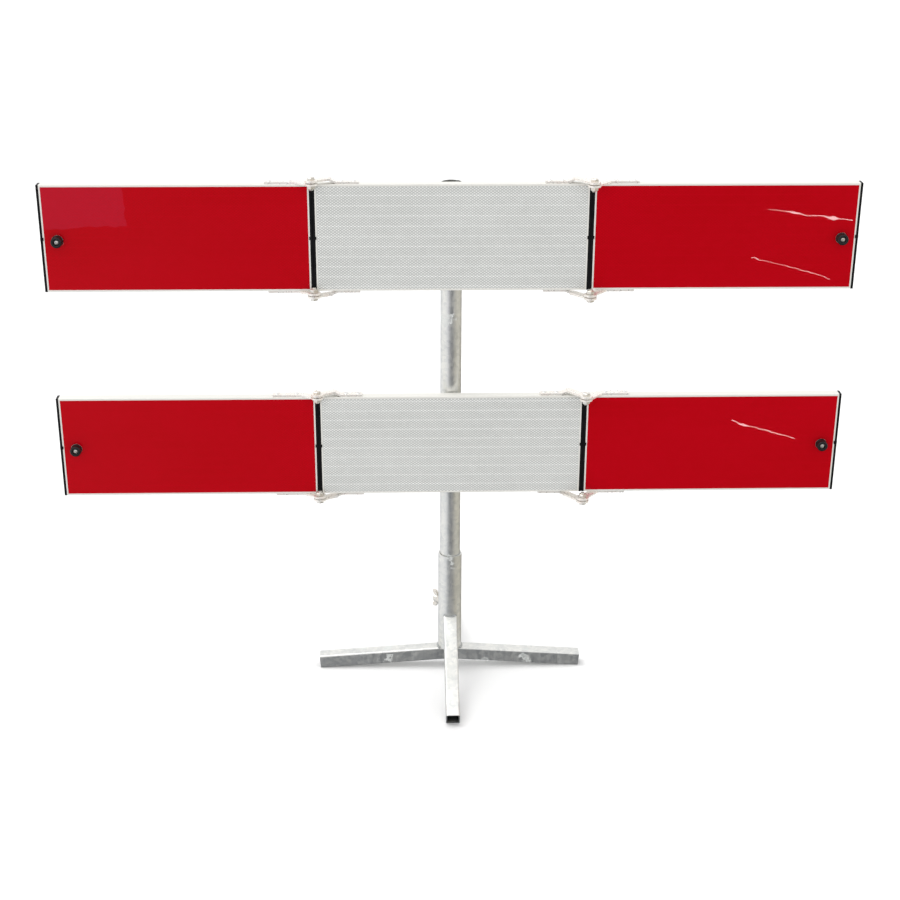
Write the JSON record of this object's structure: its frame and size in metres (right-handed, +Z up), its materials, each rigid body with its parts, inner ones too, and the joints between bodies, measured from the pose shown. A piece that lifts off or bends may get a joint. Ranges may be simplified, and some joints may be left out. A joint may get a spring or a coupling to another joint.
{
  "type": "type three barricade",
  "caption": "Free-standing folding road barrier: two rows of red and white reflective boards with hinged wings on a round pole in a cross foot.",
  "frame": {"origin": "on the pole's axis at floor level", "axes": "+Z up along the pole, +X along the boards to the viewer's right, the boards face -Y"},
  "size_m": [1.5, 0.486, 1.0333],
  "materials": {
    "galvanised_steel": "hot-dip galvanised, mottled spangle, satin",
    "weld_steel": "galvanised weld bead",
    "zinc_plated_steel": "bright zinc plated",
    "strap_steel": "zinc plated flat steel",
    "rivet_aluminium": "bare rivet",
    "cast_aluminium": "cast, blasted",
    "board_aluminium": "pale satin anodised",
    "white_sheeting": "white reflective film with a cell pattern",
    "red_sheeting": "red reflective film with a cell pattern",
    "black_rubber": "moulded strip",
    "buffer_rubber": "moulded"
  },
  "bodies": {
    "foot": {"socket": "galvanised_steel", "left_leg": "galvanised_steel", "right_leg": "galvanised_steel", "front_leg": "galvanised_steel", "rear_leg": "galvanised_steel", "welds": "weld_steel", "socket_nut": "zinc_plated_steel"},
    "wing_bolt": {"wing_bolt": "zinc_plated_steel"},
    "pole": {"pole": "galvanised_steel"},
    "upper_row": {"upper_centre_panel": "board_aluminium", "upper_centre_sheet": "white_sheeting", "upper_centre_end_strips": "black_rubber", "upper_centre_straps": "strap_steel", "upper_hinge_bolts": "zinc_plated_steel", "upper_hinge_nuts": "zinc_plated_steel", "upper_hinge_washers": "zinc_plated_steel", "upper_centre_rivets": "rivet_aluminium", "upper_clamp_saddles": "cast_aluminium", "upper_clamp_bands": "galvanised_steel", "upper_clamp_bolts": "zinc_plated_steel"},
    "upper_left_wing": {"upper_left_panel": "board_aluminium", "upper_left_sheet": "red_sheeting", "upper_left_end_strips": "black_rubber", "upper_left_straps": "strap_steel", "upper_left_rivets": "rivet_aluminium", "upper_left_buffer": "buffer_rubber", "upper_left_buffer_screw": "zinc_plated_steel"},
    "upper_right_wing": {"upper_right_panel": "board_aluminium", "upper_right_sheet": "red_sheeting", "upper_right_end_strips": "black_rubber", "upper_right_straps": "strap_steel", "upper_right_rivets": "rivet_aluminium", "upper_right_buffer": "buffer_rubber", "upper_right_buffer_screw": "zinc_plated_steel"},
    "lower_row": {"lower_centre_panel": "board_aluminium", "lower_centre_sheet": "white_sheeting", "lower_centre_end_strips": "black_rubber", "lower_centre_straps": "strap_steel", "lower_hinge_bolts": "zinc_plated_steel", "lower_hinge_nuts": "zinc_plated_steel", "lower_hinge_washers": "zinc_plated_steel", "lower_centre_rivets": "rivet_aluminium", "lower_clamp_saddles": "cast_aluminium", "lower_clamp_bands": "galvanised_steel", "lower_clamp_bolts": "zinc_plated_steel"},
    "lower_left_wing": {"lower_left_panel": "board_aluminium", "lower_left_sheet": "red_sheeting", "lower_left_end_strips": "black_rubber", "lower_left_straps": "strap_steel", "lower_left_rivets": "rivet_aluminium", "lower_left_buffer": "buffer_rubber", "lower_left_buffer_screw": "zinc_plated_steel"},
    "lower_right_wing": {"lower_right_panel": "board_aluminium", "lower_right_sheet": "red_sheeting", "lower_right_end_strips": "black_rubber", "lower_right_straps": "strap_steel", "lower_right_rivets": "rivet_aluminium", "lower_right_buffer": "buffer_rubber", "lower_right_buffer_screw": "zinc_plated_steel"}
  },
  "joints": [
    {"name": "pole_lift", "type": "slide", "parent": "foot", "child": "pole", "axis": [0, 0, 1], "range_m": [0, 0.19]},
    {"name": "wing_bolt_turn", "type": "hinge", "parent": "foot", "child": "wing_bolt", "pos_m": [0, 0, 0.139], "axis": [-0.7071, 0.7071, 0], "continuous": true},
    {"name": "upper_row_swivel", "type": "hinge", "parent": "pole", "child": "upper_row", "pos_m": [0, 0, 0], "axis": [0, 0, 1], "continuous": true},
    {"name": "upper_left_wing_fold", "type": "hinge", "parent": "upper_row", "child": "upper_left_wing", "pos_m": [-0.255, -0.053, 0], "axis": [0, 0, 1], "range_deg": [0, 180]},
    {"name": "upper_right_wing_fold", "type": "hinge", "parent": "upper_row", "child": "upper_right_wing", "pos_m": [0.255, -0.071, 0], "axis": [0, 0, -1], "range_deg": [0, 180]},
    {"name": "lower_row_swivel", "type": "hinge", "parent": "pole", "child": "lower_row", "pos_m": [0, 0, 0], "axis": [0, 0, 1], "continuous": true},
    {"name": "lower_left_wing_fold", "type": "hinge", "parent": "lower_row", "child": "lower_left_wing", "pos_m": [-0.255, -0.053, 0], "axis": [0, 0, 1], "range_deg": [0, 180]},
    {"name": "lower_right_wing_fold", "type": "hinge", "parent": "lower_row", "child": "lower_right_wing", "pos_m": [0.255, -0.071, 0], "axis": [0, 0, -1], "range_deg": [0, 180]}
  ]
}
